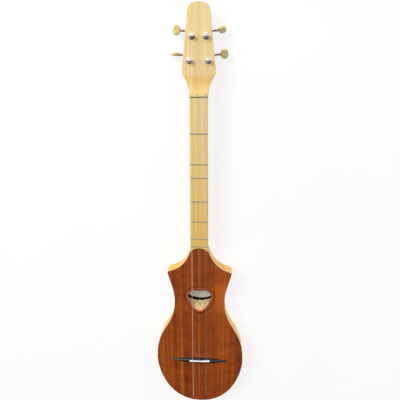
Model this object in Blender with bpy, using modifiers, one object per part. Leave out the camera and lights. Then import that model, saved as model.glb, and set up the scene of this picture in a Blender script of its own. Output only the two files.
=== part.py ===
"""Long-necked diatonic dulcimer with four strings.

Metres, +Z up. The instrument lies on its back on the XY plane, its head points along +Y and its
bass string is on the -X side. The origin is under the middle of its length and width.
Distances called "past the nut" run from the nut towards the head, so they are negative on the neck.
"""

import math

import bmesh
import bpy
from mathutils import Matrix, Vector
from mathutils.geometry import interpolate_bezier

GAP = 0.0003  # clearance wherever two pieces touch

# Lengths along the instrument
SCALE_LENGTH = 0.584
SADDLE_SETBACK = 0.0067  # from the end of the scale to the saddle's middle
HEAD_LENGTH = 0.147
JOINT_PAST_LAST_FRET = 0.0134
BODY_LENGTH = 0.4181
FRET_STEPS = (2, 4, 5, 7, 9, 11, 12)  # semitones above the open string

# Body outline: how far below the neck joint each feature lies, and its half width
HORN_BELOW_JOINT = 0.0529
HORN_HALF_WIDTH = 0.0684
WAIST_BELOW_JOINT = 0.1230
WAIST_HALF_WIDTH = 0.0546
WIDEST_ABOVE_TAIL = 0.1306
WIDEST_HALF_WIDTH = 0.1000
JOINT_ARC_RISE = 0.0085
CURVE_STEPS = 12
ARC_STEPS = 8

# Handles of the outline's curves: (share of the run inwards, share of the run down)
SHOULDER_LEAVES = (0.28, 0.86)
SHOULDER_ARRIVES = (0.23, 0.14)
HORN_HANDLE_IN = 0.0053
HORN_LEAVES = 0.36
WAIST_ARRIVES = 0.37
WAIST_LEAVES = 0.457
WIDEST_ARRIVES = 0.556
WIDEST_LEAVES = 0.274
TAIL_ARRIVES = 0.78

# Heights
BODY_DEPTH = 0.0319
SOUNDBOARD_THICKNESS = 0.003
FRETBOARD_RISE = 0.004
BACK_ROUNDOVER = 0.010
ROUNDOVER_STEPS = 4
INSET_REACH = 0.015  # outline directions are averaged this far, so that inset tips don't fold
TOP_BEVEL = 0.0006
CHAMBER_FLOOR = 0.0052
CHAMBER_WALL = 0.008
CHAMBER_BELOW_JOINT = 0.061
TAIL_BLOCK = 0.036

# Rib across the chamber, with a low sound passage through its foot
RIB_RADIUS = 0.050
RIB_LEAN = 0.005  # how much wider its hollow side is at the top
RIB_THICKNESS = 0.014
RIB_FACE_BELOW_HOLE_TOP = 0.0425
RIB_HALF_SWEEP = 84  # degrees
RIB_STEPS = 14
PASSAGE_HALF_WIDTH = 0.031
PASSAGE_HEIGHT = 0.0062
PASSAGE_SILL = 0.0005
PASSAGE_REACH = 0.014  # towards the soundhole from the middle of the rib's face

# Neck
NUT_WIDTH = 0.0327
JOINT_WIDTH = 0.0366
NECK_DEPTH_AT_NUT = 0.021
NECK_DEPTH_AT_HEEL = 0.023
HEEL_LENGTH = 0.050
NECK_TENON = 0.030
FRETBOARD_EDGE = 0.003
NECK_EDGE_BEVEL = 0.0007
NECK_ROUNDNESS = 2.2
HEEL_SQUARENESS = 1.2
HEAD_SQUARENESS = 10.0
TENON_RISE = 0.008
HEEL_STATIONS = (-0.25, -0.125, 0.0, 0.125, 0.25, 0.375, 0.5, 0.625, 0.75, 0.875, 1.0)
NECK_STATIONS = (0.1, 0.35, 0.6, 0.85, 0.93)
RING_STEPS = 6

# Head
HEAD_DROP = 0.008
HEAD_BLEND = 0.025  # the neck's back runs into the head's this far each side of the nut
SQUARING = (-0.012, 0.034)  # past the nut, where the round back turns square
HEAD_THICKNESS = 0.014
HEAD_WIDEST_PAST_NUT = 0.0455
HEAD_WIDEST_HALF = 0.0292
HEAD_TIP_START = 0.122
HEAD_TIP_HALF = 0.0204
HEAD_TIP_POWER = 3.1
HEAD_TIP_STEPS = 8
HEAD_TIP_SWEEP = 84.8  # degrees of the quarter turn that the stations cover
HEAD_END_FLAT = 0.6
FLARE_SHORT_OF_WIDEST = 0.0095
FLARE_INSIDE_WIDEST = 0.0005
LEDGE_OVERHANG = 0.0003
FLARE_HANDLES = ((0.0135, 0.0006), (-0.0085, -0.0054))
WIDEST_HANDLES = ((0.0028, 0.0012), (-0.0035, 0.0003))
SCOOP_LENGTH = 0.019
SCOOP_STEP = 0.0015

# Soundhole and its inlaid line
HOLE_BELOW_JOINT = 0.0931
HOLE_LENGTH = 0.0555
HOLE_HALF_WIDTH = 0.0245
HOLE_SHOULDER = 0.0155
HOLE_TOP_HANDLE = 0.62
HOLE_SHOULDER_HANDLES = (0.55, 0.425)
HOLE_TIP_HANDLE = 0.49
RING_ABOVE = 0.0065
RING_BESIDE = 0.0085
RING_BELOW = 0.0056
RING_WIDTH = 0.0012
RING_DEPTH = 0.0009
DOT_DIAMETER = 0.0050
DOT_BELOW_RING = 0.0014
LABEL_HALF_WIDTH = 0.0285
LABEL_LENGTH = 0.040
LABEL_OFF_RIB = 0.0008
LABEL_STEPS = 12
LABEL_THICKNESS = 0.0003

# Soundboard braces and bridge patch
BRACE_WIDTH = 0.006
BRACE_HEIGHT = 0.008
BRACE_END_CLEARANCE = 0.003
BRACE_END_HEIGHT = 0.002
UPPER_BRACE_ABOVE_HOLE = 0.014
LOWER_BRACE_ABOVE_SADDLE = 0.048
PATCH_HALF_LENGTH = 0.052
PATCH_WIDTH = 0.028
PATCH_THICKNESS = 0.0025
PATCH_BEVEL = 0.001

# Nut, frets, bridge and saddle
NUT_THICKNESS = 0.0038
NUT_SLOT_DEPTH = 0.004
NUT_HEIGHT_OVER_FRETBOARD = 0.0024
NUT_BEVEL = 0.0007
FRET_WIDTH = 0.0022
FRET_HEIGHT = 0.0011
FRET_TANG_WIDTH = 0.0005
FRET_TANG_DEPTH = 0.0018
FRET_END_INSET = 0.0004
FRET_END_ROUNDING = 0.0004
FRET_STEPS_ACROSS = 6
BRIDGE_HALF_LENGTH = 0.0644
BRIDGE_HALF_WIDTH = 0.0065
BRIDGE_TIP_HALF_WIDTH = 0.0010
BRIDGE_HEIGHT = 0.0074
BRIDGE_TIP_HEIGHT = 0.0020
BRIDGE_BEHIND_SADDLE = 0.0026
BRIDGE_TAPER = 1.5
BRIDGE_STEPS = 9  # from the middle to each tip
BRIDGE_SECTION = ((1.0, 0.0), (1.0, 0.4), (0.86, 0.75), (0.5, 1.0))  # shares of half width and height
SADDLE_HALF_LENGTH = 0.0233
SADDLE_THICKNESS = 0.0024
SADDLE_BEVEL = 0.0006
SADDLE_SLANT = 0.03  # its bass end lies further from the nut: metres along per metre across
SADDLE_RISE_OVER_FRETBOARD = 0.0051
SADDLE_SLOT_DEPTH = 0.0036

# Strings, from bass to treble. "nut" and "saddle" are places across, "hole" counts tail holes from the
# middle one, and "spread" is the side of the hole that a string of a pair keeps to
STRINGS = (
    {"tuner": "bass_lower", "wire": 0.00066, "nut": -0.0139, "saddle": -0.0153,
     "hole": -1, "spread": 0, "turns": 3},
    {"tuner": "bass_upper", "wire": 0.00041, "nut": -0.0015, "saddle": 0.0000,
     "hole": 0, "spread": 0, "turns": 4},
    {"tuner": "treble_upper", "wire": 0.0003, "nut": 0.0103, "saddle": 0.0135,
     "hole": 1, "spread": -1, "turns": 5},
    {"tuner": "treble_lower", "wire": 0.0003, "nut": 0.0138, "saddle": 0.0170,
     "hole": 1, "spread": 1, "turns": 5},
)
STRING_NUT_HEIGHT = 0.0016
TAIL_HOLE_PITCH = 0.0152
TAIL_HOLE_ABOVE_TAIL = 0.0165
TAIL_HOLE_DIAMETER = 0.0060
WIRE_HOLE_DIAMETER = 0.0030
BALL_BORE_DIAMETER = 0.0066
BALL_SEAT_HEIGHT = 0.025
BALL_DIAMETER = 0.0042
BALL_LENGTH = 0.0030
PAIR_WIRE_OFFSET = 0.0006
BALL_NECK_SHARE = 0.35  # the wire meets its ball this far above the ball's middle, in ball diameters
TWIST_LENGTH = 0.012
TWIST_FACTOR = 2.0
STRING_CORNER = 0.0008
TAIL_CORNER_OUT = 0.0006

# Tuners: places of the posts past the nut and beside the centre line
UPPER_POST_PAST_NUT = 0.0965
LOWER_POST_PAST_NUT = 0.0587
POST_TO_HEAD_EDGE = 0.0115
POST_DIAMETER = 0.006
POST_HEIGHT_OVER_FACE = 0.0098
POST_CROWN = ((0.6, 0.0), (0.92, 0.0005), (1.0, 0.0013))  # share of the radius, drop below the top
POST_SQUARE = 0.0036
FOOT_BELOW_WHEEL = 0.0006
WINDING_OVER_FLANGE = 0.0030
WINDING_SPACING = 0.00008
WINDING_SIDES = 8
WINDING_CLEARANCE = 0.00003  # from the post to the middle of a turn's straight side
WINDING_END_FROM_AXIS = 0.0012
STRING_HOLE_DIAMETER = 0.0014
BUSHING_FLANGE_DIAMETER = 0.0110
BUSHING_FLANGE_HEIGHT = 0.0018
BUSHING_RIM = 0.0008
BUSHING_SHOULDER_SHARE = 0.55
BUSHING_EDGE = 0.0004
BUSHING_DIAMETER = 0.0092
BUSHING_LENGTH = 0.008
PLATE_THICKNESS = 0.0012
PLATE_BEVEL = 0.0004
PLATE_INNER = 0.0072
PLATE_OUTER = 0.0082
PLATE_BELOW_POST = 0.0135
PLATE_ABOVE_POST = 0.0185
SCREW_FROM_PLATE_END = 0.0036
SCREW_HEAD_DIAMETER = 0.0046
SCREW_HEAD_HEIGHT = 0.0013
SCREW_HEAD_DOME = ((1.0, 0.0), (0.86, 0.65), (0.45, 1.0))  # shares of the head's radius and height
SCREW_SLOT_WIDTH = 0.0006
SCREW_SLOT_DEPTH = 0.0007
SCREW_POINT = 0.0025
SCREW_DIAMETER = 0.0022
SCREW_LENGTH = 0.009
LUG_THICKNESS = 0.0012
LUG_WIDTH = 0.0052
LUG_DEPTH_BELOW_WORM = 0.0023
LUG_CENTRE = 0.0056
WORM_BELOW_HEAD = 0.0052
WORM_PITCH = 0.00278
WORM_PITCH_RADIUS = 0.0021
WORM_LENGTH = 0.0078
TOOTH_HALF_DEPTH = 0.0006
TOOTH_THICKNESS = 0.0011
TOOTH_FOOT_SHARE = 0.68  # half of a tooth's width at its foot and tip, as shares of its thickness
TOOTH_TIP_SHARE = 0.34
THREAD_FOOT_SHARE = 0.66
THREAD_TIP_SHARE = 0.32
THREAD_SIDES = 10
THREAD_ROOT_DEPTH = 0.0004  # how far the thread is sunk into the shaft
WORM_ROOT_CLEARANCE = 0.0001
WHEEL_TEETH = 14
WHEEL_THICKNESS = 0.004
SHAFT_DIAMETER = 0.0030
SHAFT_COLLAR_DIAMETER = 0.0046
SHAFT_COLLAR_AT = 0.0135
SHAFT_COLLAR_HALF = 0.0012
HUB_COLLAR_HALF = 0.0012
SHAFT_END_PAST_LUG = 0.0008
WORM_RUNOUT = 0.0004
WORM_PHASE = math.pi / 2  # turns a groove of the thread, not its crest, to the wheel's tooth
BUTTON_CENTRE = 0.0285
BUTTON_LENGTH = 0.0135
BUTTON_WIDTH = 0.0170
BUTTON_THICKNESS = 0.0058
BUTTON_EDGE_SHARE = 0.36
BUTTON_SQUARENESS = 0.88
BUTTON_SIDES = 22
BUTTON_HUB_DIAMETER = 0.0052
BUTTON_HUB_SHARES = (1.06, 0.86)
BUTTON_HUB_LENGTH = 0.0018
BUTTON_SOCKET_DEPTH = 0.0060
BUTTON_TURNS = {"bass_upper": 0, "treble_upper": 68, "bass_lower": 84, "treble_lower": 22}

# Worked out from the sizes above
NECK_LENGTH = SCALE_LENGTH * (1 - 2 ** (-FRET_STEPS[-1] / 12)) + JOINT_PAST_LAST_FRET
TOTAL_LENGTH = HEAD_LENGTH + NECK_LENGTH + BODY_LENGTH
NUT_Y = TOTAL_LENGTH / 2 - HEAD_LENGTH
JOINT_Y = NUT_Y - NECK_LENGTH
TAIL_Y = JOINT_Y - BODY_LENGTH
SADDLE_Y = NUT_Y - SCALE_LENGTH - SADDLE_SETBACK
BRIDGE_Y = SADDLE_Y - BRIDGE_BEHIND_SADDLE
HOLE_TOP_Y = JOINT_Y - HOLE_BELOW_JOINT
RIB_CENTRE_Y = HOLE_TOP_Y - RIB_FACE_BELOW_HOLE_TOP + RIB_RADIUS
PASSAGE_FLOOR = CHAMBER_FLOOR + PASSAGE_SILL
DOT_Y = HOLE_TOP_Y - HOLE_LENGTH - RING_BELOW - DOT_BELOW_RING
TAIL_HOLE_Y = TAIL_Y + TAIL_HOLE_ABOVE_TAIL
BOARD_BOTTOM = BODY_DEPTH + GAP
BOARD_TOP = BOARD_BOTTOM + SOUNDBOARD_THICKNESS
FRETBOARD_Z = BOARD_TOP + FRETBOARD_RISE
HEAD_FACE_Z = FRETBOARD_Z - HEAD_DROP
HEAD_BACK_Z = HEAD_FACE_Z - HEAD_THICKNESS
SADDLE_TOP = FRETBOARD_Z + SADDLE_RISE_OVER_FRETBOARD
JOINT_HALF_WIDTH = JOINT_WIDTH / 2
JOINT_ARC_RADIUS = (JOINT_HALF_WIDTH**2 + JOINT_ARC_RISE**2) / (2 * JOINT_ARC_RISE)
JOINT_ARC_CENTRE_Y = JOINT_Y + JOINT_ARC_RISE - JOINT_ARC_RADIUS
HEAD_TAPER = math.atan((HEAD_WIDEST_HALF - HEAD_TIP_HALF) / (HEAD_TIP_START - HEAD_WIDEST_PAST_NUT))
WORM_Z = HEAD_BACK_Z - WORM_BELOW_HEAD
WHEEL_PITCH_RADIUS = WHEEL_TEETH * WORM_PITCH / (2 * math.pi)
WORM_OFFSET = WHEEL_PITCH_RADIUS + WORM_PITCH_RADIUS
PLATE_TOP = HEAD_BACK_Z - GAP
PLATE_BOTTOM = PLATE_TOP - PLATE_THICKNESS
WORM_TIP_RADIUS = WORM_PITCH_RADIUS + TOOTH_HALF_DEPTH
WHEEL_TOP = WORM_Z + WHEEL_THICKNESS / 2
WHEEL_BOTTOM = WORM_Z - WHEEL_THICKNESS / 2

SLOT_OVERCUT = 0.002  # how far a cutter runs past the face it opens

COLORS = {
    "maple": ((0.78, 0.56, 0.24), 0.35, 0.0),
    "mahogany": ((0.26, 0.06, 0.013), 0.4, 0.0),
    "spruce": ((0.72, 0.52, 0.30), 0.6, 0.0),
    "ebony": ((0.02, 0.02, 0.022), 0.35, 0.0),
    "bone": ((0.85, 0.80, 0.66), 0.35, 0.0),
    "ivory_plastic": ((0.80, 0.64, 0.38), 0.3, 0.0),
    "nickel_silver": ((0.62, 0.60, 0.55), 0.25, 1.0),
    "chrome": ((0.75, 0.75, 0.76), 0.12, 1.0),
    "brass": ((0.70, 0.50, 0.20), 0.3, 1.0),
    "steel_wire": ((0.60, 0.60, 0.60), 0.25, 1.0),
    "bronze_wire": ((0.72, 0.42, 0.22), 0.3, 1.0),
    "paper": ((0.62, 0.61, 0.57), 0.9, 0.0),
}


# ---------------------------------------------------------------- scene and materials


def clear_scene():
    for obj in list(bpy.data.objects):
        bpy.data.objects.remove(obj, do_unlink=True)


def new_collection(name):
    collection = bpy.data.collections.new(name)
    bpy.context.scene.collection.children.link(collection)
    return collection


def make_material(name):
    color, roughness, metallic = COLORS[name]
    material = bpy.data.materials.new(name)
    material.use_nodes = True
    shader = material.node_tree.nodes["Principled BSDF"]
    shader.inputs["Base Color"].default_value = (*color, 1.0)
    shader.inputs["Roughness"].default_value = roughness
    shader.inputs["Metallic"].default_value = metallic
    material.diffuse_color = (*color, 1.0)
    return material


# ---------------------------------------------------------------- mesh helpers


def add_object(name, mesh, material=None, collection=None):
    """Links a mesh as an object: a piece when it has a material, otherwise a cutter."""
    obj = bpy.data.objects.new(name, mesh)
    if material:
        PIECES.objects.link(obj)
        mesh.materials.clear()
        mesh.materials.append(MATERIALS[material])
        mesh.shade_smooth()
        mesh.set_sharp_from_angle(angle=math.radians(35))
    else:
        (collection or CUTTERS).objects.link(obj)
        obj.hide_render = True
        obj.display_type = "WIRE"
    return obj


def mesh_from(build):
    """Runs build(bm) on a new bmesh, turns the faces outwards and returns the mesh."""
    bm = bmesh.new()
    build(bm)
    bmesh.ops.recalc_face_normals(bm, faces=bm.faces[:])
    mesh = bpy.data.meshes.new("shape")
    bm.to_mesh(mesh)
    bm.free()
    return mesh


def loft_mesh(rings):
    """Joins rings of equal length side by side and closes both ends."""

    def build(bm):
        made = [[bm.verts.new(point) for point in ring] for ring in rings]
        count = len(rings[0])
        for first, second in zip(made, made[1:]):
            for i in range(count):
                j = (i + 1) % count
                bm.faces.new((first[i], first[j], second[j], second[i]))
        bm.faces.new(made[0])
        bm.faces.new(made[-1])

    return mesh_from(build)


def prism_mesh(outline, bottom, top):
    """A flat outline of (x, y) points, extruded from bottom to top."""
    return loft_mesh([[Vector((x, y, z)) for x, y in outline] for z in (bottom, top)])


def box_mesh(low, high):
    def build(bm):
        bmesh.ops.create_cube(bm, size=1.0)
        size = Vector(high) - Vector(low)
        bmesh.ops.scale(bm, vec=size, verts=bm.verts[:])
        bmesh.ops.translate(bm, vec=Vector(low) + size / 2, verts=bm.verts[:])

    return mesh_from(build)


def rod_mesh(radius, bottom, top, segments=20):
    """A round bar along Z."""

    def build(bm):
        bmesh.ops.create_cone(
            bm, cap_ends=True, segments=segments, radius1=radius, radius2=radius, depth=top - bottom
        )
        bmesh.ops.translate(bm, vec=(0, 0, (top + bottom) / 2), verts=bm.verts[:])

    return mesh_from(build)


def turned_mesh(profile, steps, closed=False):
    """Turns a profile of (radius, height) points round Z; it runs down its outer side."""
    mesh = bpy.data.meshes.new("profile")
    edges = [(i, i + 1) for i in range(len(profile) - 1)]
    if closed:
        edges.append((len(profile) - 1, 0))
    mesh.from_pydata([(r, 0, z) for r, z in profile], edges, [])
    obj = bpy.data.objects.new("profile", mesh)
    CUTTERS.objects.link(obj)
    screw = obj.modifiers.new("Turn", "SCREW")
    screw.steps = steps
    screw.render_steps = steps
    screw.use_merge_vertices = True
    screw.merge_threshold = 0.000001
    return baked_mesh(obj)


def baked_mesh(obj):
    """The object's evaluated mesh in its own space; the object and its helpers are removed."""
    helpers = [modifier.object for modifier in obj.modifiers if modifier.type == "BOOLEAN"]
    bpy.context.view_layer.update()
    graph = bpy.context.evaluated_depsgraph_get()
    mesh = bpy.data.meshes.new_from_object(obj.evaluated_get(graph))
    bm = bmesh.new()
    bm.from_mesh(mesh)
    bmesh.ops.remove_doubles(bm, verts=bm.verts[:], dist=0.000001)
    bm.to_mesh(mesh)
    bm.free()
    for used in (obj, *helpers):
        bpy.data.objects.remove(used, do_unlink=True)
    return mesh


def add_boolean(obj, operation, other):
    modifier = obj.modifiers.new(other.name, "BOOLEAN")
    modifier.operation = operation
    modifier.solver = "EXACT"
    if isinstance(other, bpy.types.Collection):
        modifier.operand_type = "COLLECTION"
        modifier.collection = other
    else:
        modifier.object = other


def add_bevel(obj, width, segments=1, angle=40):
    bevel = obj.modifiers.new("Bevel", "BEVEL")
    bevel.width = width
    bevel.segments = segments
    bevel.limit_method = "ANGLE"
    bevel.angle_limit = math.radians(angle)


def wire_mesh(points, diameter, factors=None, resolution=1):
    """A round wire through the points; factors thicken it point by point."""
    curve = bpy.data.curves.new("wire", "CURVE")
    curve.dimensions = "3D"
    curve.bevel_depth = diameter / 2
    curve.bevel_resolution = resolution
    curve.use_fill_caps = True
    spline = curve.splines.new("POLY")
    spline.points.add(len(points) - 1)
    for i, (point, target) in enumerate(zip(points, spline.points)):
        target.co = (*point, 1.0)
        target.radius = factors[i] if factors else 1.0
    obj = bpy.data.objects.new("wire", curve)
    CUTTERS.objects.link(obj)
    return baked_mesh(obj)


# ---------------------------------------------------------------- outlines


def bezier(start, start_handle, end_handle, end, steps=CURVE_STEPS):
    """Points of a cubic curve; the handles are given relative to their ends. The start is left out."""
    a, b = Vector(start), Vector(end)
    points = interpolate_bezier(a, a + Vector(start_handle), b + Vector(end_handle), b, steps)
    return [(p.x, p.y) for p in points[1:]]


def body_right_side():
    """The outline from the neck joint round horn, waist and lower bout to the tail, on the +X side."""
    joint = (JOINT_HALF_WIDTH, JOINT_Y)
    horn = (HORN_HALF_WIDTH, JOINT_Y - HORN_BELOW_JOINT)
    waist = (WAIST_HALF_WIDTH, JOINT_Y - WAIST_BELOW_JOINT)
    widest = (WIDEST_HALF_WIDTH, TAIL_Y + WIDEST_ABOVE_TAIL)
    tail = (0.0, TAIL_Y)
    shoulder_run = horn[0] - joint[0]
    horn_run = horn[1] - waist[1]
    flank_run = waist[1] - widest[1]
    leave = (SHOULDER_LEAVES[0] * shoulder_run, -SHOULDER_LEAVES[1] * HORN_BELOW_JOINT)
    arrive = (-SHOULDER_ARRIVES[0] * shoulder_run, SHOULDER_ARRIVES[1] * HORN_BELOW_JOINT)
    side = [joint]
    side += bezier(joint, leave, arrive, horn)
    side += bezier(horn, (-HORN_HANDLE_IN, -HORN_LEAVES * horn_run), (0, WAIST_ARRIVES * horn_run), waist)
    side += bezier(waist, (0, -WAIST_LEAVES * flank_run), (0, WIDEST_ARRIVES * flank_run), widest)
    leaving = (0, -WIDEST_LEAVES * WIDEST_ABOVE_TAIL)
    side += bezier(widest, leaving, (TAIL_ARRIVES * WIDEST_HALF_WIDTH, 0), tail)
    return side


def body_outline():
    """The whole closed outline, with the round end that meets the neck."""
    right = body_right_side()
    left = [(-x, y) for x, y in reversed(right[1:-1])]
    half_angle = math.asin(JOINT_HALF_WIDTH / JOINT_ARC_RADIUS)
    arc = []
    for i in range(ARC_STEPS + 1):
        angle = math.pi / 2 + half_angle * (1 - 2 * i / ARC_STEPS)
        y = JOINT_ARC_CENTRE_Y + JOINT_ARC_RADIUS * math.sin(angle)
        arc.append((JOINT_ARC_RADIUS * math.cos(angle), y))
    return arc[:-1] + right + left


def inset(outline, distance):
    """The closed outline moved inwards by a distance."""
    points = [Vector(p) for p in outline]
    count = len(points)
    normals = []
    for i in range(count):
        along = points[(i + 1) % count] - points[i - 1]
        normals.append(Vector((-along.y, along.x)).normalized())
    centre = sum(points, Vector((0, 0))) / count
    inward = 1 if sum(n.dot(centre - p) for n, p in zip(normals, points)) > 0 else -1
    moved = []
    for point in points:
        direction = Vector((0, 0))
        for i, near in enumerate(points):
            if (near - point).length < INSET_REACH:
                direction += normals[i] * (near - points[i - 1]).length
        direction.normalize()
        moved.append(tuple(point + direction * distance * inward))
    return moved


def chamber_outline():
    """The chamber: the body outline less its wall, between the horns and the tail block."""
    top = JOINT_Y - CHAMBER_BELOW_JOINT
    bottom = TAIL_Y + TAIL_BLOCK
    side = [p for p in inset(body_outline(), CHAMBER_WALL) if p[0] > 0 and bottom < p[1] < top]
    side.sort(key=lambda p: -p[1])
    first, last = side[0], side[-1]
    corner = CHAMBER_WALL / 2
    lower = [point for point in side if point[1] < top - corner - GAP]
    side = [(first[0] - corner, top), (first[0], top - corner)] + lower
    if last[1] - bottom > GAP:
        side.append((last[0] - GAP, bottom))
    return side + [(-x, y) for x, y in reversed(side)]


def half_width_at(outline, y):
    """The largest half width of a closed outline at the height y."""
    widths = []
    for (x0, y0), (x1, y1) in zip(outline, outline[1:]):
        if min(y0, y1) <= y <= max(y0, y1) and x0 > 0 and y0 != y1:
            widths.append(x0 + (x1 - x0) * (y - y0) / (y1 - y0))
    return max(widths)


def pick_outline(above=0.0, beside=0.0, below=0.0):
    """The soundhole's rounded shield shape, widened by the amounts given."""
    top = (0.0, HOLE_TOP_Y + above)
    shoulder = (HOLE_HALF_WIDTH + beside, HOLE_TOP_Y - HOLE_SHOULDER)
    tip = (0.0, HOLE_TOP_Y - HOLE_LENGTH - below)
    rise = top[1] - shoulder[1]
    fall = shoulder[1] - tip[1]
    side = [top]
    up, down = HOLE_SHOULDER_HANDLES
    side += bezier(top, (HOLE_TOP_HANDLE * shoulder[0], 0), (0, up * rise), shoulder)
    side += bezier(shoulder, (0, -down * fall), (HOLE_TIP_HANDLE * shoulder[0], 0), tip)
    return side + [(-x, y) for x, y in reversed(side[1:-1])]


# ---------------------------------------------------------------- maple body, neck and head


def smooth(value, start, end):
    """Runs smoothly from 0 at start to 1 at end."""
    t = min(1.0, max(0.0, (value - start) / (end - start)))
    return t * t * (3 - 2 * t)


def neck_half_width(past_nut):
    return (NUT_WIDTH + (JOINT_WIDTH - NUT_WIDTH) * -past_nut / NECK_LENGTH) / 2


def neck_stations():
    """(distance past the nut, half width) from inside the body to the tip of the head."""
    joint = -NECK_LENGTH
    places = [joint - NECK_TENON]
    places += [joint + HEEL_LENGTH * share for share in HEEL_STATIONS]
    places += [joint + HEEL_LENGTH + (NECK_LENGTH - HEEL_LENGTH) * share for share in NECK_STATIONS]
    stations = [(p, neck_half_width(p)) for p in places]
    stations.append((0.0, NUT_WIDTH / 2))
    ledge = (NUT_THICKNESS + SCOOP_STEP / 2, NUT_WIDTH / 2 + LEDGE_OVERHANG)
    stations.append(ledge)
    flare_end = (HEAD_WIDEST_PAST_NUT - FLARE_SHORT_OF_WIDEST, HEAD_WIDEST_HALF - FLARE_INSIDE_WIDEST)
    stations += bezier(ledge, *FLARE_HANDLES, flare_end, 9)
    widest = (HEAD_WIDEST_PAST_NUT, HEAD_WIDEST_HALF)
    stations += bezier(flare_end, *WIDEST_HANDLES, widest, 4)
    stations.append((HEAD_TIP_START, HEAD_TIP_HALF))
    for i in range(1, HEAD_TIP_STEPS + 1):
        share = math.sin(math.radians(HEAD_TIP_SWEEP * i / HEAD_TIP_STEPS))
        half = HEAD_TIP_HALF * (1 - share**HEAD_TIP_POWER) ** (1 / HEAD_TIP_POWER)
        stations.append((HEAD_TIP_START + (HEAD_LENGTH - HEAD_TIP_START) * share, half))
    stations.append((HEAD_LENGTH, stations[-1][1] * HEAD_END_FLAT))
    return stations


def neck_top(past_nut):
    start = NUT_THICKNESS + GAP
    if past_nut < start:
        return FRETBOARD_Z
    left = max(0.0, 1 - (past_nut - start) / SCOOP_LENGTH)
    return HEAD_FACE_Z + (HEAD_DROP - SCOOP_STEP) * left * left


def neck_bottom(past_nut):
    along = -past_nut / NECK_LENGTH
    neck = FRETBOARD_Z - NECK_DEPTH_AT_NUT - (NECK_DEPTH_AT_HEEL - NECK_DEPTH_AT_NUT) * along
    neck += (HEAD_BACK_Z - neck) * smooth(past_nut, -HEAD_BLEND, HEAD_BLEND)
    heel = smooth(-past_nut, NECK_LENGTH - HEEL_LENGTH, NECK_LENGTH)
    inside = smooth(-past_nut, NECK_LENGTH, NECK_LENGTH + NECK_TENON)
    return neck + (GAP - neck) * heel + TENON_RISE * inside


def neck_ring(past_nut, half_width):
    """A section across the neck or head: flat on top, straight sides, then a rounded back."""
    top = neck_top(past_nut)
    bottom = neck_bottom(past_nut)
    side = top - FRETBOARD_EDGE
    heel = smooth(-past_nut, NECK_LENGTH - HEEL_LENGTH, NECK_LENGTH)
    power = NECK_ROUNDNESS + (HEAD_SQUARENESS - NECK_ROUNDNESS) * smooth(past_nut, *SQUARING)
    power += HEEL_SQUARENESS * heel
    right = [(half_width - NECK_EDGE_BEVEL, top), (half_width, top - NECK_EDGE_BEVEL), (half_width, side)]
    for i in range(1, RING_STEPS):
        angle = math.pi / 2 * i / RING_STEPS
        x = half_width * math.cos(angle) ** (2 / power)
        right.append((x, side - (side - bottom) * math.sin(angle) ** (2 / power)))
    right.append((0.0, bottom))
    y = NUT_Y + past_nut
    left = [(-x, z) for x, z in reversed(right[:-1])]
    return [Vector((x, y, z)) for x, z in right + left]


def body_block_mesh():
    """The body's outside: straight sides and a round back edge."""
    outline = body_outline()
    rings = [[Vector((x, y, BODY_DEPTH)) for x, y in outline]]
    for i in range(ROUNDOVER_STEPS + 1):
        angle = math.pi / 2 * i / ROUNDOVER_STEPS
        moved = inset(outline, BACK_ROUNDOVER * (1 - math.cos(angle)))
        rings.append([Vector((x, y, BACK_ROUNDOVER * (1 - math.sin(angle)))) for x, y in moved])
    return loft_mesh(rings)


def rib_mesh():
    """A curved wall across the chamber, leaning back from the soundhole."""
    low = Vector((0, RIB_CENTRE_Y, CHAMBER_FLOOR - SLOT_OVERCUT))
    high = Vector((0, RIB_CENTRE_Y, BODY_DEPTH + 2 * SLOT_OVERCUT))
    rings = []
    for i in range(RIB_STEPS + 1):
        angle = math.radians(RIB_HALF_SWEEP * (2 * i / RIB_STEPS - 1) - 90)
        across = Vector((math.cos(angle), math.sin(angle), 0))
        inner = across * RIB_RADIUS
        outer = across * (RIB_RADIUS + RIB_THICKNESS)
        lean = across * RIB_LEAN
        rings.append([low + inner, low + outer, high + outer, high + inner + lean])
    return loft_mesh(rings)


def cut_chamber(maple):
    hollow = prism_mesh(chamber_outline(), CHAMBER_FLOOR, BODY_DEPTH + SLOT_OVERCUT)
    chamber = add_object("chamber_cutter", hollow)
    add_boolean(chamber, "DIFFERENCE", add_object("rib_keeper", rib_mesh()))
    add_boolean(maple, "DIFFERENCE", chamber)
    face = RIB_CENTRE_Y - RIB_RADIUS
    low = (-PASSAGE_HALF_WIDTH, face - RIB_THICKNESS - SLOT_OVERCUT, PASSAGE_FLOOR)
    high = (PASSAGE_HALF_WIDTH, face + PASSAGE_REACH, PASSAGE_FLOOR + PASSAGE_HEIGHT)
    add_boolean(maple, "DIFFERENCE", add_object("passage_cutter", box_mesh(low, high)))


def cut_soundboard_shelf(maple):
    """The neck ends in a hollow round step, where the soundboard's round end fits."""
    mesh = rod_mesh(JOINT_ARC_RADIUS + GAP, BODY_DEPTH, FRETBOARD_Z + 2 * SLOT_OVERCUT, 96)
    cutter = add_object("shelf_cutter", mesh)
    cutter.location = (0, JOINT_ARC_CENTRE_Y, 0)
    add_boolean(maple, "DIFFERENCE", cutter)


def cut_nut_and_fret_slots(cutters):
    wide = JOINT_WIDTH
    floor = FRETBOARD_Z - NUT_SLOT_DEPTH
    high = (wide, NUT_Y + NUT_THICKNESS + GAP, FRETBOARD_Z + SLOT_OVERCUT)
    mesh = box_mesh((-wide, NUT_Y - GAP, floor), high)
    add_object("nut_slot_cutter", mesh, collection=cutters)
    half = FRET_TANG_WIDTH / 2 + GAP
    floor = FRETBOARD_Z - FRET_TANG_DEPTH - GAP
    for number, semitones in enumerate(FRET_STEPS, 1):
        y = fret_y(semitones)
        mesh = box_mesh((-wide, y - half, floor), (wide, y + half, FRETBOARD_Z + SLOT_OVERCUT))
        add_object(f"fret_slot_cutter_{number}", mesh, collection=cutters)


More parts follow.
